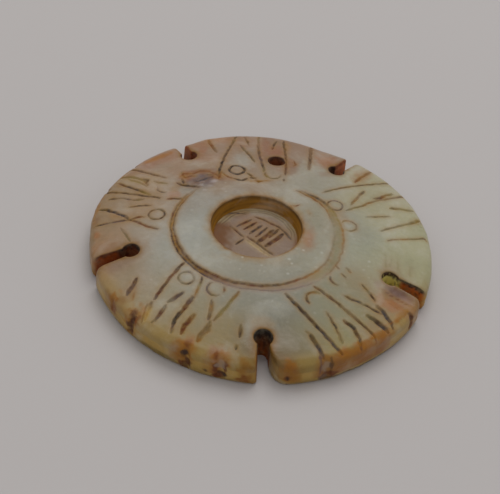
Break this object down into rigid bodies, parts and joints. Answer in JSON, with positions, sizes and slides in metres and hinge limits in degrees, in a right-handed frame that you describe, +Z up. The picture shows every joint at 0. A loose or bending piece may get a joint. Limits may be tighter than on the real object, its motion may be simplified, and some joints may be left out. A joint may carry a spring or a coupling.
{
  "type": "jade bi disc",
  "caption": "Low domed round disc of carved jade with a blind central recess, keyhole notches through the rim, a string hole and engraved cuts; it lies flat on its underside.",
  "frame": {"origin": "middle of the flat underside, on the surface that the disc lies on", "axes": "+Z up through the disc's thickness, +X to the right and +Y away as the disc is seen in its usual view"},
  "size_m": [0.0597, 0.0593, 0.0072],
  "materials": {
    "jade": "polished, weathered and stained"
  },
  "bodies": {
    "root": {"jade_disc": "jade"}
  },
  "joints": []
}
